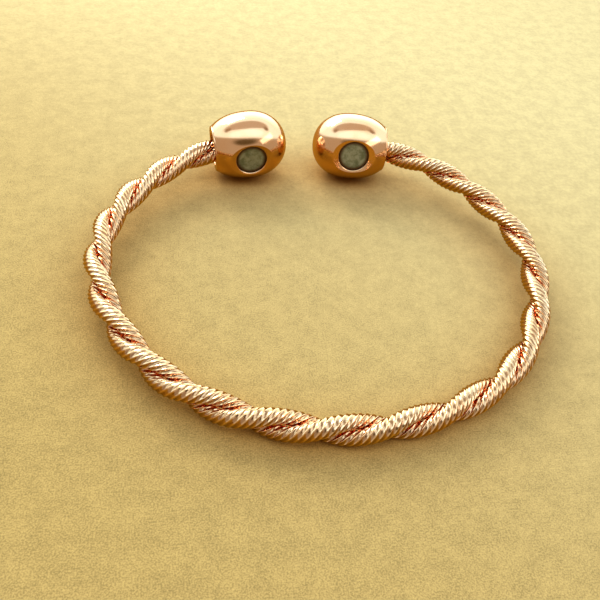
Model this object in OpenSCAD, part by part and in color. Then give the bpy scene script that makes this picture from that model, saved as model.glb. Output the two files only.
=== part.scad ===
// Copper twist bracelet: an open bangle of two ridged copper wires twisted into a rope,
// with a barrel-shaped cap on each end and a round magnet let into the wrist side of each cap.
// X runs across the bangle, the gap between the caps is at +Y, and Z is up. The bangle lies on
// a surface by itself, on its two caps and the front of the rope. Millimetres and degrees.

/* [Bangle] */
// Mean radius of the rope's middle line
ring_radius = 30.9; // [28:0.1:36]
// How much wider than deep the bangle is, as a swell of that radius
ring_oval = 1.58; // [0:0.02:2.5]
// Length of the rope's middle line from the front of the bangle to each magnet
cap_reach = 88; // [80:0.5:90]
// Angle by which the left end of the rope rises into its cap
left_end_rise = 5.5; // [0:0.5:6]

/* [Wires] */
// Half the thickness of each wire over its ridges, towards the other wire
wire_radius = 0.99; // [0.6:0.01:1.3]
// Width of a wire, flattened by the twisting, for each millimetre of its thickness
wire_widening = 1.2; // [1:0.01:1.25]
// Space between the two wires where they pass each other
wire_gap = 0.06; // [0.04:0.01:0.2]
// Length of rope in which the wires go round each other once
twist_lead = 16.73; // [14:0.01:24]
// Angle of the first wire at the front of the bangle, from straight out
twist_start = 160; // [0:1:359]
// Ridges round each wire
ridges = 8; // [5:1:8]
// Length of wire in which a ridge goes round it once
ridge_lead = 7.2; // [5:0.1:12]

/* [Caps] */
// Radius of a cap at its widest
cap_radius = 5.6; // [5.5:0.05:7]
// Length from a cap's widest place to its domed end
dome_length = 6.45; // [5:0.05:7]
// Length from a cap's widest place to its mouth
mouth_length = 6.1; // [5.6:0.1:6.2]
// Radius of the hole that takes the rope
bore_radius = 2.75; // [2.7:0.05:2.8]
// Depth of that hole
bore_depth = 2.7; // [1.5:0.1:2.8]

/* [Magnets] */
// Radius of each magnet
magnet_radius = 2.5; // [2:0.05:2.5]
// Thickness of each magnet
magnet_thickness = 2; // [1:0.1:2.2]
// Depth of a magnet's face below the widest ring of its cap
magnet_depth = 1.05; // [0.9:0.05:1.4]
// Angle by which the left magnet looks up from the wrist
left_magnet_rise = 3; // [0:1:25]
// Angle by which the right magnet looks up from the wrist
right_magnet_rise = 14; // [0:1:25]

/* [Hidden] */

COPPER = [0.85, 0.56, 0.42];
STEEL = [0.47, 0.47, 0.40];

// Columns of the ring's table: waves round the ring, and how far each swells the radius
WAVES = 0;
SWELL = 1;
ring_table = [
    [2, -ring_oval],
    [3, 0.32],
    [4, -0.28],
    [5, 0.15],
    [6, -0.20],
    [7, 0.12]
];

// Length of rope that the left end's bend takes, from the magnet
end_bend_length = 40;

// Half the space between the wires' middle lines, and half the rope's thickness
wire_offset = wire_radius + wire_gap / 2;
rope_radius = wire_offset + wire_radius;
// Length of wire in each millimetre of rope
wire_stretch = norm([1, 2 * PI * wire_offset / twist_lead]);
rings_per_ridge_lead = 18;

// The magnet sits this far from a cap's widest place, towards the mouth
seat_shift = 0.3;
seat_clearance = 0.06;
seat_bevel = 0.42;
seat_bevel_angle = 55;
magnet_edge = 0.12;
mouth_edge = 0.25;
// Length of rope inside a cap: its slanting ends stop short of the hole's bottom
rope_in_cap = bore_depth - 0.7;
rope_reach = cap_reach - (mouth_length - seat_shift) + rope_in_cap;

// Powers of the two rounded ends, 2 for an ellipse and more for a fuller shoulder
dome_power = 2.15;
mouth_power = 2.19;
mouth_full_length = 7.6;
dome_points = 14;
mouth_points = 8;
// A tool reaches this far past the surface it cuts
over = 2;
small = 0.01;
ROUND = 96;

function total(list, i = 0) = i < len(list) ? list[i] + total(list, i + 1) : 0;
function unit(v) = v / norm(v);

// The rope's middle line, at an angle from the front of the bangle, positive towards +X
function ring_r(a) = ring_radius + total([for (w = ring_table) w[SWELL] * cos(w[WAVES] * a)]);
function ring_point(a) = ring_r(a) * [sin(a), -cos(a)];
function ring_along(a) = unit(ring_point(a + small) - ring_point(a - small));

// Length of that line up to an angle, and the angle at a length
function ring_arc(a) = ring_radius * a * PI / 180
    + total([for (w = ring_table) w[SWELL] / w[WAVES] * sin(w[WAVES] * a)]);
function ring_angle(s, a = 0, tries = 8) = tries == 0 ? a
    : ring_angle(s, a + (s - ring_arc(a)) / ring_r(a) * 180 / PI, tries - 1);

// The rest position: the ring's plane leans until the caps and the front both touch Z = 0
cap_angle = ring_angle(cap_reach);
cap_back = ring_point(cap_angle)[1];
front_back = ring_point(0)[1];
rest_lean = asin((cap_radius - rope_radius) / (cap_back - front_back));
rest_lift = rope_radius - front_back * sin(rest_lean);
rest_shift = ((rope_radius - front_back * cos(rest_lean)) - (cap_back * cos(rest_lean) + cap_radius)) / 2;

// Height of the rope's middle line over the ring's plane: it sags a little before the left cap
function end_sag(u) = u > end_bend_length ? 0
    : -tan(left_end_rise) * u * pow(1 - u / end_bend_length, 2);
function rope_point(s) = let(p = ring_point(ring_angle(s))) [p[0], p[1], end_sag(s + cap_reach)];

// Middle line of a wire that starts at an angle round the rope
function wire_point(s, start) = let(
    t = ring_along(ring_angle(s)),
    turn = twist_start + start + 360 * s / twist_lead
) rope_point(s) + wire_offset * [cos(turn) * t[1], -cos(turn) * t[0], sin(turn)];

// Corners of a wire's section at a length, turned to follow the ridges and widened sideways
function wire_section(s, start) = let(
    c = wire_point(s, start),
    along = unit(wire_point(s + small, start) - wire_point(s - small, start)),
    t = ring_along(ring_angle(s)),
    out = [t[1], -t[0], 0],
    u = unit(out - (out * along) * along),
    v = cross(along, u),
    sideways = unit(cross(along, c - rope_point(s))),
    ridge_turn = -360 * s * wire_stretch / ridge_lead
) [for (k = [0 : ridges - 1]) let(
    b = ridge_turn + 360 * k / ridges,
    corner = wire_radius * (cos(b) * u + sin(b) * v)
) c + corner + (wire_widening - 1) * (corner * sideways) * sideways];

module lay_down() {
    translate([0, rest_shift, rest_lift])
        rotate([rest_lean, 0, 0])
            children();
}

module wire(start) {
    steps = ceil(2 * rope_reach * wire_stretch / ridge_lead * rings_per_ridge_lead);
    points = [for (i = [0 : steps]) each wire_section(rope_reach * (2 * i / steps - 1), start)];
    sides = [for (i = [0 : steps - 1], k = [0 : ridges - 1]) let(
        here = i * ridges,
        there = here + ridges,
        next = (k + 1) % ridges
    ) each [[here + k, there + k, there + next], [here + k, there + next, here + next]]];
    first_end = [for (k = [0 : ridges - 1]) k];
    last_end = [for (k = [ridges - 1 : -1 : 0]) steps * ridges + k];
    polyhedron(points = points, faces = concat([first_end], sides, [last_end]), convexity = 20);
}

// Puts a shape on the left (-1) or right (1) end: its X points at the gap, and its Y at the
// wrist on the right and away from it on the left
module on_end(side) {
    p = ring_point(side * cap_angle);
    t = side * ring_along(side * cap_angle);
    rise = side < 0 ? left_end_rise : 0;
    translate([p[0], p[1], cap_drop(rise)])
        rotate([0, -rise, atan2(t[1], t[0])])
            children();
}

// Puts a shape on a magnet's axis: its Z points out of the cap at the wrist, raised by an angle
module on_seat(side, rise) {
    rotate([-side * (90 - rise), 0, 0])
        children();
}

// Half outline of a cap: radius, and distance from the widest place towards the gap
function dome_outline() = [for (i = [0 : dome_points]) let(a = 90 - 90 * i / dome_points)
    [cap_radius * pow(cos(a), 2 / dome_power), dome_length * pow(sin(a), 2 / dome_power)]];
function mouth_r(x) = cap_radius * pow(1 - pow(x / mouth_full_length, mouth_power), 1 / mouth_power);
function mouth_outline() = [for (i = [1 : mouth_points]) let(
    x = (mouth_length - mouth_edge) * sin(90 * i / mouth_points)
) [mouth_r(x), -x]];

// How much lower a tilted cap reaches than a level one
function cap_drop(tilt) = max([for (q = concat(dome_outline(), mouth_outline()))
    q[0] * cos(tilt) - (q[1] + seat_shift) * sin(tilt)]) - cap_radius;

module cap_body() {
    face_radius = mouth_r(mouth_length) - mouth_edge;
    outline = concat(
        dome_outline(),
        mouth_outline(),
        [[face_radius, -mouth_length], [0, -mouth_length]]
    );
    translate([seat_shift, 0, 0])
        rotate([0, 90, 0])
            rotate_extrude($fn = ROUND)
                polygon(outline);
}

module seat_cut() {
    face_height = cap_radius - magnet_depth;
    seat_radius = magnet_radius + seat_clearance;
    seat_floor = face_height - magnet_thickness - seat_clearance;
    bevel_height = seat_bevel / tan(seat_bevel_angle);
    translate([0, 0, seat_floor])
        cylinder(r = seat_radius, h = cap_radius - seat_floor, $fn = ROUND);
    translate([0, 0, face_height + small])
        cylinder(
            r1 = seat_radius,
            r2 = seat_radius + seat_bevel * over / bevel_height,
            h = over,
            $fn = ROUND
        );
}

module cap(side, rise) {
    mouth_x = seat_shift - mouth_length;
    difference() {
        cap_body();
        translate([mouth_x - over, 0, 0])
            rotate([0, 90, 0])
                cylinder(r = bore_radius, h = bore_depth + over, $fn = ROUND);
        on_seat(side, rise)
            seat_cut();
    }
}

module magnet() {
    outline = [
        [0, 0],
        [magnet_radius, 0],
        [magnet_radius, magnet_thickness - magnet_edge],
        [magnet_radius - magnet_edge, magnet_thickness],
        [0, magnet_thickness]
    ];
    translate([0, 0, cap_radius - magnet_depth - magnet_thickness])
        rotate_extrude($fn = ROUND)
            polygon(outline);
}

module wire_one() {
    color(COPPER)
        lay_down()
            wire(0);
}

module wire_two() {
    color(COPPER)
        lay_down()
            wire(180);
}

module left_cap() {
    color(COPPER)
        lay_down()
            on_end(-1)
                cap(-1, left_magnet_rise);
}

module right_cap() {
    color(COPPER)
        lay_down()
            on_end(1)
                cap(1, right_magnet_rise);
}

module left_magnet() {
    color(STEEL)
        lay_down()
            on_end(-1)
                on_seat(-1, left_magnet_rise)
                    magnet();
}

module right_magnet() {
    color(STEEL)
        lay_down()
            on_end(1)
                on_seat(1, right_magnet_rise)
                    magnet();
}

wire_one();
wire_two();
left_cap();
right_cap();
left_magnet();
right_magnet();
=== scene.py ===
"""Copper twist bracelet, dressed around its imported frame.

Two ridged copper wires are twisted into a rope and bent into an open bangle. A polished barrel
cap closes each end, and a round magnet sits in the wrist side of each cap. Every piece is made
in metres, in the row's own frame: X across the bangle, the gap between the caps at +Y, Z up.
"""
import logging
import math
from collections.abc import Callable, Iterator
from contextlib import contextmanager
from dataclasses import dataclass
from enum import Enum

import bpy
import numpy as np
from mathutils import Matrix, Vector


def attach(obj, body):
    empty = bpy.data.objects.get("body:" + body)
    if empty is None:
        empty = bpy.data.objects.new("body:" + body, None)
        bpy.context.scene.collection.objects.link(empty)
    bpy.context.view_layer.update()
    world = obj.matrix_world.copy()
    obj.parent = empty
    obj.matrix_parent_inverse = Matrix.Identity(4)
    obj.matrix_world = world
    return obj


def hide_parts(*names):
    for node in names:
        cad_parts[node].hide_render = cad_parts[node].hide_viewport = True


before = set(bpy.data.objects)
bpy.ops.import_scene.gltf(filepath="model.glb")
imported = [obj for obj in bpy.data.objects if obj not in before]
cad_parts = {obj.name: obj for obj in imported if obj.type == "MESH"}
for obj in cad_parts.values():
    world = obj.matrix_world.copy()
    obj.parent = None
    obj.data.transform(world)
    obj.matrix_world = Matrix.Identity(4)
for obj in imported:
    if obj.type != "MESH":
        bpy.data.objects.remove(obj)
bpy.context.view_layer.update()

LOG = logging.getLogger("bracelet")
MM = 0.001
PLACE = "place"
ROOT = "root"
QUARTER_TURN = math.pi / 2
ORIGIN = (0, 0, 0)
# How near to a plane a vertex counts as in it, and how near two vertices become one
IN_PLANE = 1e-3 * MM
AS_ONE = 0.5e-3 * MM

Span = tuple[float, float]
Outline = list[Span]
Triple = tuple[float, float, float]
Colour = Triple
Socket = bpy.types.NodeSocket
Value = Socket | float | Triple


class Side(Enum):
    """The two ends of the bangle, as the sign of their X."""

    LEFT = -1
    RIGHT = 1


class Strand(Enum):
    """The two wires of the rope, by the angle in degrees at which each starts round it."""

    ONE = 0.0
    TWO = 180.0


class Slot(Enum):
    """The record's material slots."""

    RIDGED_COPPER = "ridged_copper"
    POLISHED_COPPER = "polished_copper"
    MAGNET_STEEL = "magnet_steel"


# Modelling helpers


def deselect_all() -> None:
    """Deselects every object."""
    bpy.ops.object.select_all(action="DESELECT")


def activate(piece: bpy.types.Object) -> None:
    """Makes one object the only selected one, and the active one.

    Args:
        piece: The object.
    """
    deselect_all()
    piece.select_set(True)
    bpy.context.view_layer.objects.active = piece


@contextmanager
def editing(piece: bpy.types.Object, kind: str = "VERT") -> Iterator[None]:
    """Opens a piece in edit mode with nothing selected, and leaves edit mode afterwards.

    Args:
        piece: The mesh to edit.
        kind: What is selected, VERT, EDGE or FACE.

    Returns:
        The context to work in.
    """
    activate(piece)
    bpy.ops.object.mode_set(mode="EDIT")
    bpy.ops.mesh.select_mode(type=kind)
    bpy.ops.mesh.select_all(action="DESELECT")
    yield
    bpy.ops.object.mode_set(mode="OBJECT")


def select_vertices(piece: bpy.types.Object, wanted: Callable[[Vector], bool]) -> None:
    """Selects the vertices of a piece in edit mode by their place.

    Args:
        piece: The mesh, in edit mode.
        wanted: Says of a vertex's place whether it is selected.
    """
    bpy.ops.mesh.select_all(action="DESELECT")
    bpy.ops.object.mode_set(mode="OBJECT")
    for vertex in piece.data.vertices:
        vertex.select = wanted(vertex.co)
    bpy.ops.object.mode_set(mode="EDIT")


def select_edges(piece: bpy.types.Object, wanted: Callable[[Vector, Vector], bool]) -> None:
    """Selects the edges of a piece in edit mode by their ends.

    Args:
        piece: The mesh, in edit mode.
        wanted: Says of an edge's two ends whether it is selected.
    """
    bpy.ops.mesh.select_all(action="DESELECT")
    bpy.ops.object.mode_set(mode="OBJECT")
    points = piece.data.vertices
    for edge in piece.data.edges:
        edge.select = wanted(*(points[i].co for i in edge.vertices))
    bpy.ops.object.mode_set(mode="EDIT")


def point_outwards() -> None:
    """Points every face of the piece in edit mode outwards."""
    bpy.ops.mesh.select_all(action="SELECT")
    bpy.ops.mesh.normals_make_consistent(inside=False)


def apply_modifier(piece: bpy.types.Object, name: str) -> None:
    """Applies one modifier of a piece, by its name."""
    activate(piece)
    bpy.ops.object.modifier_apply(modifier=name)


def smooth(piece: bpy.types.Object, sharp_angle: float) -> None:
    """Shades a piece smooth, except at edges sharper than an angle in degrees."""
    activate(piece)
    bpy.ops.object.shade_smooth_by_angle(angle=math.radians(sharp_angle))


def put_in_place(piece: bpy.types.Object, place: Matrix) -> None:
    """Moves a piece to its place and applies the move, so that its object stays at the origin.

    Args:
        piece: The mesh to place.
        place: Where its own frame goes in the row's frame.
    """
    piece.matrix_world = place
    activate(piece)
    bpy.ops.object.transform_apply(location=True, rotation=True, scale=True)


def remember_places(piece: bpy.types.Object, places: np.ndarray) -> None:
    """Keeps a place in millimetres for each vertex, where the finishes read their patterns."""
    attribute = piece.data.attributes.new(PLACE, "FLOAT_VECTOR", "POINT")
    attribute.data.foreach_set("vector", places.astype(np.float32).ravel())


def read_rows(items: bpy.types.bpy_prop_collection, key: str) -> np.ndarray:
    """Reads one vector of each item of a mesh.

    Args:
        items: The mesh's vertices, or the values of an attribute.
        key: The vector's name in an item.

    Returns:
        A row of three numbers for each item.
    """
    rows = np.empty(len(items) * 3, np.float32)
    items.foreach_get(key, rows)
    return rows.reshape(-1, 3).astype(float)


def vertex_places(piece: bpy.types.Object) -> np.ndarray:
    """The places of a mesh's vertices, a row for each, in metres."""
    return read_rows(piece.data.vertices, "co")


def rows_at(lengths: np.ndarray, run: np.ndarray, rows: np.ndarray) -> np.ndarray:
    """Reads a table, whose rows stand at the lengths of a run, at other lengths between them."""
    return np.stack([np.interp(lengths, run, column) for column in rows.T], axis=1)


def even_turns(last: float, count: int) -> list[float]:
    """The angles from 0 to a last one, in a number of even steps."""
    return [last * i / count for i in range(count + 1)]


def lathe(name: str, outline: Outline, segments: int) -> bpy.types.Object:
    """Turns a closed solid about Z, ring by ring, as on a lathe.

    Args:
        name: The new object's name.
        outline: Radius and height of each ring. A last radius of 0 closes the end to a point.
        segments: Vertices round each ring.

    Returns:
        The solid, with its normals outwards.
    """
    rings = [point for point in outline if point[0] > 0]
    radius, height = rings[0]
    deselect_all()
    bpy.ops.mesh.primitive_circle_add(vertices=segments, radius=radius, location=(0, 0, height))
    piece = bpy.context.object
    piece.name = piece.data.name = name
    bpy.ops.object.transform_apply(location=True, rotation=True, scale=True)
    with editing(piece):
        bpy.ops.mesh.select_all(action="SELECT")
        bpy.ops.mesh.edge_face_add()
        for next_radius, next_height in rings[1:]:
            rise = (0, 0, next_height - height)
            bpy.ops.mesh.extrude_region_move(TRANSFORM_OT_translate={"value": rise})
            if next_radius != radius:
                ratio = next_radius / radius
                middle = (0, 0, next_height)
                bpy.ops.transform.resize(value=(ratio, ratio, 1), center_override=middle)
            radius, height = next_radius, next_height
        if outline[-1][0] == 0:
            bpy.ops.mesh.merge(type="CENTER")
        point_outwards()
    return piece


# The bangle's line and its rest position


@dataclass(frozen=True)
class RingLine:
    """The rope's middle line, a nearly round open ring in a plane of its own.

    Angles are from the front of the bangle, positive towards +X, and in radians.
    """

    radius: float = 30.9 * MM
    swells: tuple[tuple[int, float], ...] = (
        (2, -1.58 * MM),
        (3, 0.32 * MM),
        (4, -0.28 * MM),
        (5, 0.15 * MM),
        (6, -0.20 * MM),
        (7, 0.12 * MM),
    )

    def radius_at(self, angle: float) -> float:
        """Distance of the line from the ring's middle at an angle."""
        return self.radius + sum(swell * math.cos(waves * angle) for waves, swell in self.swells)

    def point(self, angle: float) -> Vector:
        """The line's place at an angle, in the ring's own plane."""
        return self.radius_at(angle) * Vector((math.sin(angle), -math.cos(angle), 0))

    def along(self, angle: float, step: float = 1e-4) -> Vector:
        """Direction of the line at an angle, towards +X at the front."""
        return (self.point(angle + step) - self.point(angle - step)).normalized()

    def arc(self, angle: float) -> float:
        """Length of the line from the front to an angle."""
        swelling = sum(swell / waves * math.sin(waves * angle) for waves, swell in self.swells)
        return self.radius * angle + swelling

    def angle_at(self, length: float, tries: int = 8) -> float:
        """The angle at which the line has a given length from the front.

        Args:
            length: Length of line from the front, in metres.
            tries: Number of steps of Newton's method.

        Returns:
            The angle in radians.
        """
        angle = 0.0
        for _ in range(tries):
            angle += (length - self.arc(angle)) / self.radius_at(angle)
        return angle


def seat_turn(side: Side, rise: float) -> Matrix:
    """The turn from a cap's frame to its magnet's axis, which looks up by some degrees."""
    return Matrix.Rotation(-side.value * math.radians(90 - rise), 4, "X")


@dataclass(frozen=True)
class Bangle:
    """The driving sizes that the pieces share, and where each piece goes.

    The left end of the rope rises into its cap, whose tilted body reaches a little lower than a
    level one, so the cap is lifted by as much.
    """

    line: RingLine = RingLine()
    cap_reach: float = 88 * MM
    cap_radius: float = 5.6 * MM
    magnet_face: float = 4.55 * MM
    wire_radius: float = 0.99 * MM
    wire_gap: float = 0.06 * MM
    twist_lead: float = 16.73 * MM
    twist_start: float = 160.0
    left_end_rise: float = math.radians(5.5)
    left_end_lift: float = 0.0146 * MM
    end_bend_length: float = 40 * MM

    @property
    def wire_offset(self) -> float:
        """Half the space between the two wires' middle lines."""
        return self.wire_radius + self.wire_gap / 2

    @property
    def rope_radius(self) -> float:
        """Half the rope's thickness."""
        return self.wire_offset + self.wire_radius

    @property
    def cap_angle(self) -> float:
        """Angle at which the magnets' axes cross the line."""
        return self.line.angle_at(self.cap_reach)

    def lay_down(self) -> Matrix:
        """The ring leans until its two caps and the front of the rope all touch the surface.

        Returns:
            The move from the ring's own plane to the row's frame.
        """
        cap_back = self.line.point(self.cap_angle).y
        front_back = self.line.point(0).y
        lean = math.asin((self.cap_radius - self.rope_radius) / (cap_back - front_back))
        front = self.rope_radius - front_back * math.cos(lean)
        shift = (front - (cap_back * math.cos(lean) + self.cap_radius)) / 2
        lift = self.rope_radius - front_back * math.sin(lean)
        return Matrix.Translation((0, shift, lift)) @ Matrix.Rotation(lean, 4, "X")

    def end_sag(self, distance: float) -> float:
        """The rope sags a little before it rises into the left cap.

        Args:
            distance: Length of rope from the left magnet.

        Returns:
            Height of the rope over the ring's plane.
        """
        if distance > self.end_bend_length:
            return 0.0
        straightening = (1 - distance / self.end_bend_length) ** 2
        return -math.tan(self.left_end_rise) * distance * straightening

    def rope_point(self, length: float) -> Vector:
        """The rope's middle line at a length from the front, in the ring's own plane."""
        sag = self.end_sag(length + self.cap_reach)
        return self.line.point(self.line.angle_at(length)) + Vector((0, 0, sag))

    def on_end(self, side: Side) -> Matrix:
        """A frame on one end of the bangle, whose X points at the gap between the caps.

        Args:
            side: Which end.

        Returns:
            The frame's place in the row's frame.
        """
        angle = side.value * self.cap_angle
        towards_gap = side.value * self.line.along(angle)
        turn = Matrix.Rotation(math.atan2(towards_gap.y, towards_gap.x), 4, "Z")
        place = self.line.point(angle)
        if side is Side.LEFT:
            place.z += self.left_end_lift
            turn = turn @ Matrix.Rotation(-self.left_end_rise, 4, "Y")
        return self.lay_down() @ Matrix.Translation(place) @ turn

    def on_seat(self, side: Side, rise: float) -> Matrix:
        """A frame on a magnet's axis, whose Z points out of the cap at the wrist."""
        return self.on_end(side) @ seat_turn(side, rise)

    def wire_point(self, length: float, strand: Strand) -> Vector:
        """A place on a wire's middle line, in the ring's own plane.

        Args:
            length: Length of rope from the front of the bangle.
            strand: Which wire.

        Returns:
            The place in metres.
        """
        angle = self.line.angle_at(length)
        along = self.line.along(angle)
        turn = math.radians(self.twist_start + strand.value) + math.tau * length / self.twist_lead
        out = self.wire_offset * math.cos(turn)
        up = self.wire_offset * math.sin(turn)
        return self.rope_point(length) + Vector((out * along.y, -out * along.x, up))


# Finishes

RISING: Span = (0.0, 1.0)
FALLING: Span = (1.0, 0.0)


def around(middle: float, reach: float) -> Span:
    """The span that reaches equally far below and above a value."""
    return middle - reach, middle + reach


@dataclass(frozen=True)
class Pattern:
    """A noise pattern: its waves for each unit of place, its finer layers and their strength.

    Where a finish asks for it, the values in its span are stretched to a full range.
    """

    scale: float
    detail: float = 2.0
    rough: float = 0.5
    span: Span = RISING


class NodeBoard:
    """A node tree, with short ways to add and link its nodes."""

    def __init__(self, tree: bpy.types.NodeTree) -> None:
        """Keeps the node tree of a material or of the world."""
        self.tree = tree

    def add(self, kind: str, **settings: object) -> bpy.types.Node:
        """Adds a node.

        Args:
            kind: The node's type, such as ShaderNodeTexNoise.
            settings: Its properties, or its inputs by name with _ for a space.

        Returns:
            The node.
        """
        node = self.tree.nodes.new(kind)
        for name, value in settings.items():
            if hasattr(node, name) and not name[0].isupper():
                setattr(node, name, value)
            else:
                node.inputs[name.replace("_", " ")].default_value = value
        return node

    def feed(self, socket: Socket, value: Value) -> None:
        """Gives an input its value.

        Args:
            socket: The input.
            value: A socket that it is linked to, or plain numbers.
        """
        if isinstance(value, Socket):
            self.tree.links.new(value, socket)
        else:
            socket.default_value = value

    def noise(self, place: Socket, pattern: Pattern) -> Socket:
        """A noise pattern, from 0 to 1.

        Args:
            place: Where the pattern is read.
            pattern: Its fineness and layers.

        Returns:
            The socket that gives the value.
        """
        scale, detail, rough = pattern.scale, pattern.detail, pattern.rough
        node = self.add("ShaderNodeTexNoise", Scale=scale, Detail=detail, Roughness=rough)
        self.feed(node.inputs["Vector"], place)
        return node.outputs["Fac"]

    def remap(self, value: Socket, span: Span, ends: Span = RISING) -> Socket:
        """Stretches a span of values to another, smoothly and with both ends held.

        Args:
            value: The value's socket.
            span: Where the span starts and ends.
            ends: What its start and its end become.

        Returns:
            The socket that gives the new value.
        """
        node = self.add("ShaderNodeMapRange", interpolation_type="SMOOTHSTEP")
        for name, number in zip(("From Min", "From Max", "To Min", "To Max"), (*span, *ends)):
            node.inputs[name].default_value = number
        self.feed(node.inputs["Value"], value)
        return node.outputs["Result"]

    def stretched(self, place: Socket, pattern: Pattern, ends: Span = RISING) -> Socket:
        """A noise pattern, with its own span stretched to a full range."""
        return self.remap(self.noise(place, pattern), pattern.span, ends)

    def work_out(self, kind: str, operation: str, values: tuple[Value, ...]) -> bpy.types.Node:
        """Adds a node that does one operation on some values.

        Args:
            kind: The node's type.
            operation: What is done, such as MULTIPLY.
            values: The values in the node's order, each a socket or plain numbers.

        Returns:
            The node.
        """
        node = self.add(kind, operation=operation)
        for socket, value in zip(node.inputs, values):
            self.feed(socket, value)
        return node

    def math(self, operation: str, *values: Value) -> Socket:
        """The result of one operation on two or three numbers."""
        return self.work_out("ShaderNodeMath", operation, values).outputs["Value"]

    def vector(self, operation: str, *values: Value) -> bpy.types.Node:
        """One operation on vectors, as a node that has a Vector and a Value."""
        return self.work_out("ShaderNodeVectorMath", operation, values)

    def weighted(self, first: Socket, second: Socket, shares: Span) -> Socket:
        """The sum of two values, each times its share."""
        parts = (self.math("MULTIPLY", *pair) for pair in zip((first, second), shares))
        return self.math("ADD", *parts)

    def mix(self, share: Socket, first: Value, second: Value) -> Socket:
        """A mix of two colours, each a socket or three numbers.

        Args:
            share: How much of the second colour.
            first: The first colour.
            second: The second colour.

        Returns:
            The socket that gives the colour.
        """
        node = self.add("ShaderNodeMix", data_type="RGBA")
        inputs = {socket.identifier: socket for socket in node.inputs}
        for name, value in (("A_Color", first), ("B_Color", second)):
            self.feed(inputs[name], value if isinstance(value, Socket) else (*value, 1))
        self.feed(inputs["Factor_Float"], share)
        return next(socket for socket in node.outputs if socket.identifier == "Result_Color")


class FinishBoard(NodeBoard):
    """A material's node tree, with its principled shader and the piece's own pattern space."""

    def __init__(self, name: str) -> None:
        """Starts a material that has only a principled shader and its output.

        Args:
            name: The material's name.
        """
        self.material = bpy.data.materials.new(name)
        self.material.use_nodes = True
        super().__init__(self.material.node_tree)
        self.shader = self.tree.nodes["Principled BSDF"]

    def place(self, scale: Triple = (1, 1, 1), turn: Triple = (0, 0, 0)) -> Socket:
        """The piece's own pattern space, in millimetres, stretched and turned.

        Args:
            scale: Stretch along its X, Y and Z.
            turn: Turn about them, in degrees.

        Returns:
            The socket that gives the place.
        """
        source = self.add("ShaderNodeAttribute", attribute_name=PLACE)
        angles = tuple(math.radians(a) for a in turn)
        mapping = self.add("ShaderNodeMapping", Scale=scale, Rotation=angles)
        self.feed(mapping.inputs["Vector"], source.outputs["Vector"])
        return mapping.outputs["Vector"]

    def radius(self) -> Socket:
        """Distance from the axis of the piece's own pattern space, in millimetres."""
        return self.vector("LENGTH", self.place(scale=(1, 1, 0))).outputs["Value"]

    def openness(self, reach: float, samples: int) -> Socket:
        """How open the surface is, from 0 to 1, to a reach in metres round it."""
        node = self.add("ShaderNodeAmbientOcclusion", samples=samples, Distance=reach)
        return node.outputs["AO"]

    def bump(self, height: Socket, depth: float, under: Socket | None = None) -> Socket:
        """Turns a height pattern into small bumps.

        Args:
            height: The pattern, from 0 to 1.
            depth: Height of its highest bumps, in metres.
            under: Bumps that these are laid on.

        Returns:
            The socket that gives the bumped normal.
        """
        node = self.add("ShaderNodeBump", Distance=depth)
        self.feed(node.inputs["Height"], height)
        if under is not None:
            self.feed(node.inputs["Normal"], under)
        return node.outputs["Normal"]

    def dress(self, name: str, value: Value) -> None:
        """Gives one of the principled shader's inputs its value."""
        self.feed(self.shader.inputs[name], value)


@dataclass(frozen=True)
class RidgedCopper:
    """Bright cut copper wire, with drawing marks along its ridges.

    Its crests are clean, painted shade darkens its grooves, and the valleys between the wires are
    painted rusty red, as shade with light reflected from the copper.
    """

    name: str = "ridged_copper"
    bright: Colour = (0.99, 0.71, 0.46)
    warm: Colour = (0.98, 0.63, 0.365)
    # Painted shade: the dark brown laid into the grooves between the ridges
    painted_groove_shade: Colour = (0.20, 0.055, 0.014)
    # Painted reflection: the rusty red laid into the shaded valleys between the wires
    painted_valley_reflection: Colour = (0.86, 0.32, 0.13)
    metallic: float = 1.0
    roughness: Span = (0.05, 0.15)
    groove_radii: Span = (0.865, 0.945)
    patches: Pattern = Pattern(0.35, detail=3, span=(0.35, 0.7))
    speckle: Pattern = Pattern(4.0, span=(0.55, 0.75))
    speckle_share: float = 0.5
    groove_shade_strength: float = 0.9
    shade_reach: float = 1.6 * MM
    shade_samples: int = 8
    shade_edge: Span = (0.26, 0.72)
    streaks: Pattern = Pattern(1.0, detail=3)
    streak_stretch: Triple = (9, 9, 0.5)
    streak_depth: float = 0.004 * MM
    shine_shares: Span = (0.6, 0.4)
    shine_span: Span = (0.2, 0.8)
    dents: Pattern = Pattern(1.6, detail=1)
    dent_depth: float = 0.012 * MM

    def material(self) -> bpy.types.Material:
        """Builds the finish.

        Returns:
            The material.
        """
        board = FinishBoard(self.name)
        place = board.place()
        # Painted shade: the grooves between the ridges are darkened, in speckled patches
        groove = board.remap(board.radius(), self.groove_radii, FALLING)
        speckle = board.stretched(place, self.speckle)
        darkening = board.math("MULTIPLY_ADD", speckle, self.speckle_share, 1 - self.speckle_share)
        groove_shade = board.math("MULTIPLY", board.math("MULTIPLY", groove, darkening), self.groove_shade_strength)
        # Painted reflection: where the wires shade each other, the colour turns rusty red
        openness = board.openness(self.shade_reach, self.shade_samples)
        valley_shade = board.remap(openness, self.shade_edge, FALLING)
        colour = board.mix(board.stretched(place, self.patches), self.bright, self.warm)
        colour = board.mix(valley_shade, colour, self.painted_valley_reflection)
        board.dress("Base Color", board.mix(groove_shade, colour, self.painted_groove_shade))
        board.dress("Metallic", self.metallic)
        streaks = board.noise(board.place(self.streak_stretch), self.streaks)
        shine = board.weighted(streaks, groove, self.shine_shares)
        board.dress("Roughness", board.remap(shine, self.shine_span, self.roughness))
        dents = board.bump(board.noise(place, self.dents), self.dent_depth)
        board.dress("Normal", board.bump(streaks, self.streak_depth, dents))
        return board.material


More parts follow.
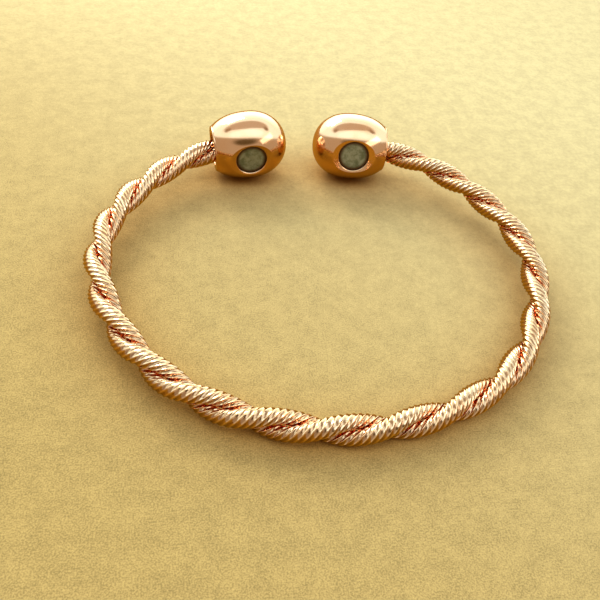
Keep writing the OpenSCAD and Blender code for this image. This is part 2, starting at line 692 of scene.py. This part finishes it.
@dataclass(frozen=True)
class PolishedCopper:
    """Mirror-polished copper: faint polishing lines, smudges and a slow waviness."""

    name: str = "polished_copper"
    bright: Colour = (0.955, 0.61, 0.39)
    warm: Colour = (0.95, 0.56, 0.32)
    metallic: float = 1.0
    roughness: Span = (0.11, 0.20)
    tone: Pattern = Pattern(0.25, detail=4, span=(0.3, 0.7))
    smudges: Pattern = Pattern(0.5, detail=5, rough=0.6, span=(0.45, 0.75))
    lines: Pattern = Pattern(1.0)
    line_stretch: Triple = (0.6, 0.6, 24)
    line_depth: float = 0.0004 * MM
    shine_shares: Span = (0.7, 0.3)
    waves: Pattern = Pattern(0.16, detail=1)
    wave_depth: float = 0.02 * MM
    scratches: Pattern = Pattern(1.0, detail=1, span=(0.66, 0.8))
    scratch_stretch: Triple = (22, 0.5, 3)
    scratch_turn: Triple = (12, 25, 40)
    scratch_depth: float = 0.0012 * MM

    def material(self) -> bpy.types.Material:
        """Builds the finish.

        Returns:
            The material.
        """
        board = FinishBoard(self.name)
        place = board.place()
        tone = board.stretched(place, self.tone)
        board.dress("Base Color", board.mix(tone, self.bright, self.warm))
        board.dress("Metallic", self.metallic)
        lines = board.noise(board.place(self.line_stretch), self.lines)
        shine = board.weighted(board.stretched(place, self.smudges), lines, self.shine_shares)
        board.dress("Roughness", board.remap(shine, RISING, self.roughness))
        waves = board.bump(board.noise(place, self.waves), self.wave_depth)
        ringed = board.bump(lines, self.line_depth, waves)
        across = board.place(self.scratch_stretch, self.scratch_turn)
        scratches = board.stretched(across, self.scratches)
        board.dress("Normal", board.bump(scratches, self.scratch_depth, ringed))
        return board.material


@dataclass(frozen=True)
class DullMagnet:
    """A magnet's dull grey-green plating, mottled and darker towards its edge."""

    name: str = "magnet_steel"
    pale: Colour = (0.38, 0.43, 0.34)
    dark: Colour = (0.17, 0.19, 0.10)
    darkening: Colour = (0.09, 0.045, 0.015)
    metallic: float = 0.7
    roughness: Span = (0.34, 0.58)
    darkening_radii: Span = (1.72, 2.40)
    mottle: Pattern = Pattern(0.9, detail=5, rough=0.65, span=(0.35, 0.68))
    pits: Pattern = Pattern(5.0, detail=4, rough=0.6)
    pit_depth: float = 0.02 * MM

    def material(self) -> bpy.types.Material:
        """Builds the finish.

        Returns:
            The material.
        """
        board = FinishBoard(self.name)
        place = board.place()
        mottle = board.stretched(place, self.mottle)
        # The colour darkens towards the magnet's rim
        rim = board.remap(board.radius(), self.darkening_radii)
        colour = board.mix(mottle, self.pale, self.dark)
        board.dress("Base Color", board.mix(rim, colour, self.darkening))
        board.dress("Metallic", self.metallic)
        board.dress("Roughness", board.remap(mottle, RISING, self.roughness))
        board.dress("Normal", board.bump(board.noise(place, self.pits), self.pit_depth))
        return board.material


@dataclass(frozen=True)
class PalePaper:
    """The plain pale floor: matt paper with a faint mottle and fine fibres, painted lighter far
    away.

    It is warmer in the shade of the bangle. Mirrored in the copper it looks deeper, as the unlit
    paper round the photograph's view does.
    """

    name: str = "pale_paper"
    # Painted light: the far colour is paler, where more light falls on the paper
    near: Colour = (0.320, 0.221, 0.080)
    far: Colour = (0.445, 0.370, 0.200)
    # Painted reflection: the paper's deeper colour where the copper mirrors it
    mirrored: Colour = (0.205, 0.10, 0.006)
    # Painted shade: the warm dark brown close to the bangle
    shaded: Colour = (0.290, 0.11, 0.006)
    shade_reach: float = 12 * MM
    shade_samples: int = 16
    fade: Span = (-0.075, 0.125)
    fade_slant: float = 0.85
    mottle: Pattern = Pattern(1.3 / MM, detail=5, rough=0.75, span=(0.3, 0.7))
    mottle_strength: float = 0.10
    blotches: Pattern = Pattern(0.35 / MM, span=(0.3, 0.7))
    blotch_strength: float = 0.06
    fibres: Pattern = Pattern(5.0 / MM, span=(0.25, 0.75))
    fibre_strength: float = 0.26
    blur_span: Span = (0.0, 0.8)
    blurring: Span = (1.0, 0.1)
    grain_depth: float = 0.012 * MM
    roughness: float = 0.9
    specular: float = 0.06

    def material(self) -> bpy.types.Material:
        """Builds the finish.

        Returns:
            The material.
        """
        board = FinishBoard(self.name)
        place = board.add("ShaderNodeTexCoord").outputs["Object"]
        axes = board.add("ShaderNodeSeparateXYZ")
        board.feed(axes.inputs[0], place)
        # Painted light: the paper grows paler towards the far side and the right
        slant = board.math("MULTIPLY", axes.outputs["X"], self.fade_slant)
        paler = board.remap(board.math("ADD", axes.outputs["Y"], slant), self.fade)
        mottle = board.noise(place, self.mottle)
        shade = board.remap(mottle, self.mottle.span, around(1, self.mottle_strength))
        blotches = board.stretched(place, self.blotches, around(0, self.blotch_strength))
        fibres = board.stretched(place, self.fibres, around(0, self.fibre_strength))
        sharp = board.math("MULTIPLY", fibres, board.remap(paler, self.blur_span, self.blurring))
        shade = board.math("ADD", board.math("ADD", shade, blotches), sharp)
        # Painted shade: close to the bangle the paper turns a warm dark brown
        openness = board.openness(self.shade_reach, self.shade_samples)
        lit = board.mix(openness, self.shaded, board.mix(paler, self.near, self.far))
        colour = board.vector("SCALE", lit)
        board.feed(colour.inputs["Scale"], shade)
        # Painted reflection: the copper mirrors the paper in a deeper, darker colour
        mirror_ray = board.add("ShaderNodeLightPath").outputs["Is Glossy Ray"]
        board.dress("Base Color", board.mix(mirror_ray, colour.outputs["Vector"], self.mirrored))
        board.dress("Roughness", self.roughness)
        board.dress("Specular IOR Level", self.specular)
        board.dress("Normal", board.bump(mottle, self.grain_depth))
        return board.material


# Pieces


def hand_over(piece: bpy.types.Object, node: str, material: bpy.types.Material) -> None:
    """Gives a finished piece its material, body and node, and reports it.

    Args:
        piece: The finished mesh.
        node: The frame's node that it stands for.
        material: The finish.
    """
    piece.data.materials.clear()
    piece.data.materials.append(material)
    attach(piece, ROOT)
    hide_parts(node)
    LOG.info("%s: %d faces, for node %s", piece.name, len(piece.data.polygons), node)


@dataclass
class RidgedWire:
    """One wire of the rope: a rod with sharp left-handed ridges, wound, bent and flattened."""

    bangle: Bangle
    strand: Strand
    node: str
    ridges: int = 8
    ridge_lead: float = 7.2 * MM
    crest_round: float = 0.05 * MM
    crest_segments: int = 2
    facet_cuts: int = 4
    facet_hollow: float = 0.060 * MM
    facet_slack: float = 0.0055 * MM
    rings_per_lead: int = 58
    route_points: int = 1400
    widening: float = 1.2
    rope_in_cap: float = 2.0 * MM
    cap_mouth: float = 5.8 * MM
    sharp_angle: float = 35.0

    @property
    def reach(self) -> float:
        """Length of rope from the front of the bangle to the wire's end."""
        return self.bangle.cap_reach - self.cap_mouth + self.rope_in_cap

    @property
    def turns(self) -> float:
        """How often a ridge goes round the wire over its whole length."""
        stretch = math.hypot(1, math.tau * self.bangle.wire_offset / self.bangle.twist_lead)
        return 2 * self.reach * stretch / self.ridge_lead

    def route(self) -> bpy.types.Object:
        """The wire's middle line as a curve that bends a straight rod.

        Returns:
            The curve object.
        """
        curve = bpy.data.curves.new(f"{self.node}_route", "CURVE")
        curve.dimensions = "3D"
        curve.twist_mode = "Z_UP"
        curve.use_stretch = curve.use_deform_bounds = True
        spline = curve.splines.new("POLY")
        last = self.route_points - 1
        spline.points.add(last)
        for i, point in enumerate(spline.points):
            place = self.bangle.wire_point(self.reach * (2 * i / last - 1), self.strand)
            point.co = (*place, 1)
        route = bpy.data.objects.new(curve.name, curve)
        bpy.context.scene.collection.objects.link(route)
        return route

    def section(self) -> bpy.types.Object:
        """The wire's section: a polygon with rounded crests and slightly hollow facets.

        Returns:
            The section as a ring of vertices.
        """
        wire_radius = self.bangle.wire_radius
        phase = math.tau * self.turns / 2 + QUARTER_TURN
        deselect_all()
        bpy.ops.mesh.primitive_circle_add(
            vertices=self.ridges, radius=wire_radius, rotation=(0, 0, phase)
        )
        section = bpy.context.object
        section.name = section.data.name = self.node + "_dressed"
        bpy.ops.object.transform_apply(location=True, rotation=True, scale=True)
        middle = wire_radius * math.cos(math.pi / self.ridges)
        half_side = wire_radius * math.sin(math.pi / self.ridges) - self.crest_round
        with editing(section):
            bpy.ops.mesh.select_all(action="SELECT")
            bpy.ops.mesh.bevel(
                affect="VERTICES", offset=self.crest_round, segments=self.crest_segments
            )
        with editing(section, "EDGE"):
            select_edges(section, lambda start, end: (end - start).length > half_side)
            bpy.ops.mesh.subdivide(number_cuts=self.facet_cuts)
        with editing(section):
            steps = self.facet_cuts // 2
            ratio = 1 - self.facet_hollow / middle / steps
            for depth in range(1, steps + 1):
                along = half_side * (1 - 2 * depth / (self.facet_cuts + 1))
                limit = math.hypot(middle, along) + self.facet_slack
                select_vertices(section, lambda place, limit=limit: place.length < limit)
                bpy.ops.transform.resize(value=(ratio, ratio, 1), center_override=ORIGIN)
        grow = wire_radius / max(vertex.co.length for vertex in section.data.vertices)
        put_in_place(section, Matrix.Diagonal((grow, grow, 1, 1)))
        return section

    def rod(self) -> bpy.types.Object:
        """The straight ridged rod, with its pattern space kept untwisted.

        Returns:
            The closed rod, along Z.
        """
        length = self.turns * self.ridge_lead
        rod = self.section()
        wind = rod.modifiers.new("wind", "SCREW")
        wind.angle = -math.tau * self.turns
        wind.screw_offset = length
        wind.steps = wind.render_steps = round(self.turns * self.rings_per_lead)
        apply_modifier(rod, wind.name)
        with editing(rod):
            for end in (0.0, length):
                select_vertices(rod, lambda place, end=end: abs(place.z - end) < IN_PLANE)
                bpy.ops.mesh.edge_face_add()
            point_outwards()
        places = vertex_places(rod)
        turn = math.tau * places[:, 2] / self.ridge_lead
        x = places[:, 0] * np.cos(turn) - places[:, 1] * np.sin(turn)
        y = places[:, 0] * np.sin(turn) + places[:, 1] * np.cos(turn)
        remember_places(rod, np.stack([x, y, places[:, 2]], axis=1) / MM)
        return rod

    def flatten(self, wire: bpy.types.Object) -> None:
        """Widens the bent wire sideways, as the twisting of the rope flattens it.

        The widening turns with the rope from place to place, which no modifier follows.

        Args:
            wire: The bent wire, in the ring's own plane.
        """
        lengths = np.linspace(-self.reach, self.reach, self.route_points)
        middle = np.array([self.bangle.wire_point(s, self.strand) for s in lengths])
        rope = np.array([self.bangle.rope_point(s) for s in lengths])
        steps = np.linalg.norm(np.diff(middle, axis=0), axis=1)
        run = np.concatenate(([0.0], np.cumsum(steps)))
        sideways = np.cross(np.gradient(middle, axis=0), middle - rope)
        sideways /= np.linalg.norm(sideways, axis=1, keepdims=True)
        height = read_rows(wire.data.attributes[PLACE].data, "vector")[:, 2]
        at = height / height.max() * run[-1]
        way = rows_at(at, run, sideways)
        places = vertex_places(wire)
        offsets = places - rows_at(at, run, middle)
        aside = np.sum(offsets * way, axis=1, keepdims=True)
        places += (self.widening - 1) * aside * way
        wire.data.vertices.foreach_set("co", places.astype(np.float32).ravel())
        wire.data.update()

    def build(self, material: bpy.types.Material) -> None:
        """Winds the rod, bends it along its route, flattens it and lays it down.

        Args:
            material: The wire's finish.
        """
        route = self.route()
        wire = self.rod()
        bend = wire.modifiers.new("bend", "CURVE")
        bend.object = route
        bend.deform_axis = "POS_Z"
        apply_modifier(wire, bend.name)
        bpy.data.objects.remove(route)
        self.flatten(wire)
        put_in_place(wire, self.bangle.lay_down())
        smooth(wire, self.sharp_angle)
        hand_over(wire, self.node, material)


@dataclass
class BarrelCap:
    """A polished end cap: a barrel with a domed end, a flat mouth and a magnet's recess.

    Its own Z runs from the mouth, which takes the rope, to the domed end.
    """

    bangle: Bangle
    side: Side
    rise: float
    node: str
    dome_length: float = 6.45 * MM
    mouth_length: float = 6.1 * MM
    mouth_full_length: float = 7.6 * MM
    dome_power: float = 2.15
    mouth_power: float = 2.19
    mouth_edge: float = 0.25 * MM
    bore_radius: float = 2.75 * MM
    bore_depth: float = 2.7 * MM
    bore_edge: float = 0.12 * MM
    seat_shift: float = 0.3 * MM
    seat_radius: float = 2.56 * MM
    seat_bevel_angle: float = 82.0
    seat_bevel_start: float = 0.04 * MM
    lip_round: float = 0.20 * MM
    lip_rings: int = 6
    seat_floor: float = 2.49 * MM
    cut_over: float = 2 * MM
    segments: int = 192
    dome_rings: int = 44
    mouth_rings: int = 26
    edge_rings: int = 8
    sharp_angle: float = 30.0

    def mouth_radius(self, distance: float) -> float:
        """Radius of the mouth side at a distance from the widest place."""
        share = (distance / self.mouth_full_length) ** self.mouth_power
        return self.bangle.cap_radius * (1 - share) ** (1 / self.mouth_power)

    def skin(self) -> Outline:
        """Outline of the polished outside, from the mouth's face to the dome's tip.

        Returns:
            Radius and height of each ring.
        """
        start = self.mouth_length - self.mouth_edge
        edge_radius = self.mouth_radius(start)
        rings = []
        for turn in even_turns(QUARTER_TURN, self.edge_rings):
            radius = edge_radius - self.mouth_edge * (1 - math.sin(turn))
            rings.append((radius, -start - self.mouth_edge * math.cos(turn)))
        for turn in reversed(even_turns(QUARTER_TURN, self.mouth_rings)[:-1]):
            distance = start * math.sin(turn)
            rings.append((self.mouth_radius(distance), -distance))
        for turn in even_turns(QUARTER_TURN, self.dome_rings)[1:-1]:
            radius = self.bangle.cap_radius * math.cos(turn) ** (2 / self.dome_power)
            rings.append((radius, self.dome_length * math.sin(turn) ** (2 / self.dome_power)))
        rings.append((0.0, self.dome_length))
        return [(radius, height + self.seat_shift) for radius, height in rings]

    def bore(self) -> bpy.types.Object:
        """The tool that cuts the rope's hole, flared at the mouth.

        Returns:
            A closed solid along the cap's own Z.
        """
        mouth = self.seat_shift - self.mouth_length
        rings = [(self.bore_radius, mouth + self.bore_depth)]
        for turn in even_turns(QUARTER_TURN, self.edge_rings):
            radius = self.bore_radius + self.bore_edge * (1 - math.cos(turn))
            rings.append((radius, mouth + self.bore_edge * (1 - math.sin(turn))))
        rings.append((self.bore_radius + self.bore_edge, mouth - self.cut_over))
        return lathe(self.node + "_bore", rings, self.segments)

    def recess(self) -> bpy.types.Object:
        """The tool that cuts the magnet's recess and its bevelled rim.

        Returns:
            A closed solid in the cap's own frame.
        """
        lean = math.radians(self.seat_bevel_angle)
        start = self.bangle.magnet_face + self.seat_bevel_start
        outline = [(self.seat_radius, self.seat_floor)]
        for turn in even_turns(lean, self.lip_rings):
            radius = self.seat_radius + self.lip_round * (1 - math.cos(turn))
            outline.append((radius, start + self.lip_round * math.sin(turn)))
        radius, height = outline[-1]
        outline.append((radius + self.cut_over * math.tan(lean), height + self.cut_over))
        tool = lathe(self.node + "_tool", outline, self.segments)
        upright = Matrix.Rotation(QUARTER_TURN, 4, "Y").inverted()
        put_in_place(tool, upright @ seat_turn(self.side, self.rise))
        return tool

    def build(self, material: bpy.types.Material) -> None:
        """Turns the cap, cuts its hole and its recess, and puts it on the rope's end.

        Args:
            material: The cap's finish.
        """
        cap = lathe(self.node + "_dressed", self.skin(), self.segments)
        for tool in (self.bore(), self.recess()):
            cut = cap.modifiers.new("cut", "BOOLEAN")
            cut.object = tool
            cut.operation = "DIFFERENCE"
            cut.solver = "EXACT"
            apply_modifier(cap, cut.name)
            bpy.data.objects.remove(tool)
        with editing(cap):
            bpy.ops.mesh.select_all(action="SELECT")
            bpy.ops.mesh.remove_doubles(threshold=AS_ONE)
            point_outwards()
        smooth(cap, self.sharp_angle)
        remember_places(cap, vertex_places(cap) / MM)
        level = Matrix.Rotation(QUARTER_TURN, 4, "Y")
        put_in_place(cap, self.bangle.on_end(self.side) @ level)
        hand_over(cap, self.node, material)


@dataclass
class SeatMagnet:
    """A round magnet in a cap's recess, with rounded edges."""

    bangle: Bangle
    side: Side
    rise: float
    node: str
    radius: float = 2.5 * MM
    thickness: float = 2.0 * MM
    edge: float = 0.12 * MM
    edge_rings: int = 4
    face_rings: int = 6
    segments: int = 128
    sharp_angle: float = 35.0

    def outline(self) -> Outline:
        """Outline of the magnet, from its back to its face.

        Returns:
            Radius and height of each ring.
        """
        face = self.bangle.magnet_face
        back = face - self.thickness
        flat = self.radius - self.edge
        rings = [(flat, back), (self.radius, back + self.edge)]
        for turn in even_turns(QUARTER_TURN, self.edge_rings):
            radius = self.radius - self.edge * (1 - math.cos(turn))
            rings.append((radius, face - self.edge * (1 - math.sin(turn))))
        for i in range(1, self.face_rings):
            rings.append((flat * (1 - i / self.face_rings), face))
        return rings

    def build(self, material: bpy.types.Material) -> None:
        """Turns the magnet and sets it in its recess.

        Args:
            material: The magnet's finish.
        """
        magnet = lathe(self.node + "_dressed", self.outline(), self.segments)
        smooth(magnet, self.sharp_angle)
        remember_places(magnet, vertex_places(magnet) / MM)
        put_in_place(magnet, self.bangle.on_seat(self.side, self.rise))
        hand_over(magnet, self.node, material)


# Studio

DAYLIGHT: Colour = (1.0, 0.99, 0.96)
WARM_LIGHT: Colour = (1.0, 0.94, 0.82)


@dataclass(frozen=True)
class Softbox:
    """A rectangular soft light that looks at a point near the surface.

    A light that isn't mirrored leaves the copper to mirror the room's own bright parts.
    """

    name: str
    place: Triple
    size: Span
    brightness: float
    colour: Colour = WARM_LIGHT
    aim: Triple = (0.0, 0.0, 0.0)
    mirrored: bool = False

    def build(self) -> None:
        """Sets up the light."""
        lamp = bpy.data.lights.new(self.name, "AREA")
        lamp.shape = "RECTANGLE"
        lamp.size, lamp.size_y = self.size
        lamp.energy = self.brightness * math.pi * lamp.size * lamp.size_y
        lamp.color = self.colour
        light = bpy.data.objects.new(self.name, lamp)
        light.location = self.place
        look = Vector(self.aim) - Vector(self.place)
        light.rotation_euler = look.to_track_quat("-Z", "Y").to_euler()
        light.visible_camera = False
        light.visible_glossy = self.mirrored
        bpy.context.scene.collection.objects.link(light)


@dataclass(frozen=True)
class Patch:
    """A soft oval part of the room that differs from what is round it."""

    colour: Colour
    centre: Triple
    half: Triple
    edge: Span = (0.80, 1.08)

    def laid_on(self, board: NodeBoard, direction: Socket, under: Socket) -> Socket:
        """Lays the patch over the room's colour.

        Args:
            board: The world's node tree.
            direction: The direction's socket.
            under: The room's colour so far.

        Returns:
            The socket that gives the new colour.
        """
        offset = board.vector("SUBTRACT", direction, self.centre)
        oval = board.vector("DIVIDE", offset.outputs["Vector"], self.half)
        reach = board.vector("LENGTH", oval.outputs["Vector"])
        share = board.remap(reach.outputs["Value"], self.edge, FALLING)
        return board.mix(share, under, self.colour)


@dataclass(frozen=True)
class Room:
    """The soft light of the room by direction.

    It is bright beyond the bangle and overhead, and dim on the camera's side. Its patches are the
    browner ceiling, the window, the light overhead, the dark behind the camera and two dark ends
    of the ceiling.
    """

    bright: Colour = (1.25, 1.50, 1.46)
    near: Colour = (0.50, 0.41, 0.29)
    bright_aim: Triple = (0.12, 0.57, 0.81)
    bright_edge: Span = (0.28, 0.40)
    patches: tuple[Patch, ...] = (
        Patch((0.62, 0.54, 0.42), (0.0, 0.22, 0.93), (0.68, 0.28, 1.0)),
        Patch((2.80, 3.10, 2.55), (0.02, 0.80, 0.28), (0.85, 0.55, 0.42), (0.45, 1.1)),
        Patch((1.50, 1.75, 1.80), (0.0, -0.30, 0.93), (0.75, 0.24, 0.26), (0.6, 1.1)),
        Patch((0.12, 0.085, 0.035), (-0.04, -0.60, 0.63), (0.46, 0.50, 0.20), (0.50, 1.05)),
        Patch((0.36, 0.25, 0.15), (-0.54, 0.12, 0.83), (0.24, 0.18, 0.12), (0.30, 1.0)),
        Patch((0.32, 0.22, 0.12), (0.60, 0.08, 0.80), (0.24, 0.18, 0.13), (0.30, 1.0)),
    )

    def build(self) -> None:
        """Makes it the scene's world."""
        room = bpy.data.worlds.new("room")
        room.use_nodes = True
        board = NodeBoard(room.node_tree)
        direction = board.add("ShaderNodeTexCoord").outputs["Generated"]
        aimed = board.vector("DOT_PRODUCT", direction, Vector(self.bright_aim).normalized())
        bright = board.remap(aimed.outputs["Value"], self.bright_edge)
        colour = board.mix(bright, self.near, self.bright)
        for patch in self.patches:
            colour = patch.laid_on(board, direction, colour)
        board.feed(room.node_tree.nodes["Background"].inputs["Color"], colour)
        bpy.context.scene.world = room


@dataclass
class Studio:
    """A plain pale floor, soft lights and the camera at the photograph's angle."""

    floor_half: float = 1.5
    paper: PalePaper = PalePaper()
    room: Room = Room()
    softboxes: tuple[Softbox, ...] = (
        Softbox("window", (0.04, 0.30, 0.20), (1.10, 0.40), 1.55, DAYLIGHT, (0.04, 0.0, 0.20)),
        Softbox("overhead", (0.0, -0.17, 0.50), (1.15, 0.34), 1.5, DAYLIGHT, (0.0, -0.17, 0.0)),
        Softbox("side", (0.35, -0.19, 0.32), (0.40, 0.14), 1.6, mirrored=True),
        Softbox("key", (-0.09, 0.23, 0.17), (0.11, 0.11), 14.0, mirrored=True),
    )
    camera_yaw: float = 13.387
    camera_fall: float = 43.573
    camera_roll: float = 8.080
    camera_distance: float = 106.14 * MM
    camera_aim: Span = (-3.768 * MM, -5.745 * MM)
    camera_lens: float = 43.55
    camera_sensor: float = 36.0
    camera_near: float = 1 * MM

    def camera_axes(self) -> tuple[Vector, Vector, Vector]:
        """The camera's right, up and forward directions, with its roll.

        Returns:
            Three unit vectors.
        """
        angles = (self.camera_yaw, self.camera_fall, self.camera_roll)
        yaw, fall, roll = (math.radians(a) for a in angles)
        ahead = Vector((math.sin(yaw), math.cos(yaw), 0)) * math.cos(fall)
        forward = ahead - Vector((0, 0, math.sin(fall)))
        level = Vector((math.cos(yaw), -math.sin(yaw), 0))
        upright = level.cross(forward)
        right = level * math.cos(roll) + upright * math.sin(roll)
        up = upright * math.cos(roll) - level * math.sin(roll)
        return right, up, forward

    def build_camera(self) -> None:
        """Sets up the camera that has the photograph's view."""
        right, up, forward = self.camera_axes()
        lens = bpy.data.cameras.new("camera")
        lens.lens = self.camera_lens
        lens.sensor_width = self.camera_sensor
        lens.clip_start = self.camera_near
        camera = bpy.data.objects.new("camera", lens)
        place = Vector((*self.camera_aim, 0)) - forward * self.camera_distance
        turn = Matrix((right, up, -forward)).transposed().to_4x4()
        camera.matrix_world = Matrix.Translation(place) @ turn
        bpy.context.scene.collection.objects.link(camera)
        bpy.context.scene.camera = camera

    def build_floor(self) -> None:
        """Lays the plain pale floor."""
        deselect_all()
        bpy.ops.mesh.primitive_plane_add(size=2 * self.floor_half, location=(0, 0, 0))
        floor = bpy.context.object
        floor.name = "floor"
        floor.data.materials.append(self.paper.material())

    def build(self) -> None:
        """Sets up the floor, the lights, the room's light and the camera."""
        self.build_floor()
        self.room.build()
        for softbox in self.softboxes:
            softbox.build()
        self.build_camera()
        bpy.context.scene.view_settings.view_transform = "Standard"


def main() -> None:
    """Builds the studio and then the bracelet, piece by piece."""
    logging.basicConfig(level=logging.INFO, format="%(name)s: %(message)s")
    Studio().build()
    bangle = Bangle()
    ridged = RidgedCopper().material()
    polished = PolishedCopper().material()
    dull = DullMagnet().material()
    for strand, node in ((Strand.ONE, "wire_one"), (Strand.TWO, "wire_two")):
        RidgedWire(bangle, strand, node).build(ridged)
    for side, name, rise in ((Side.LEFT, "left", 3.0), (Side.RIGHT, "right", 14.0)):
        BarrelCap(bangle, side, rise, name + "_cap").build(polished)
        SeatMagnet(bangle, side, rise, name + "_magnet").build(dull)


if __name__ == "__main__":
    main()
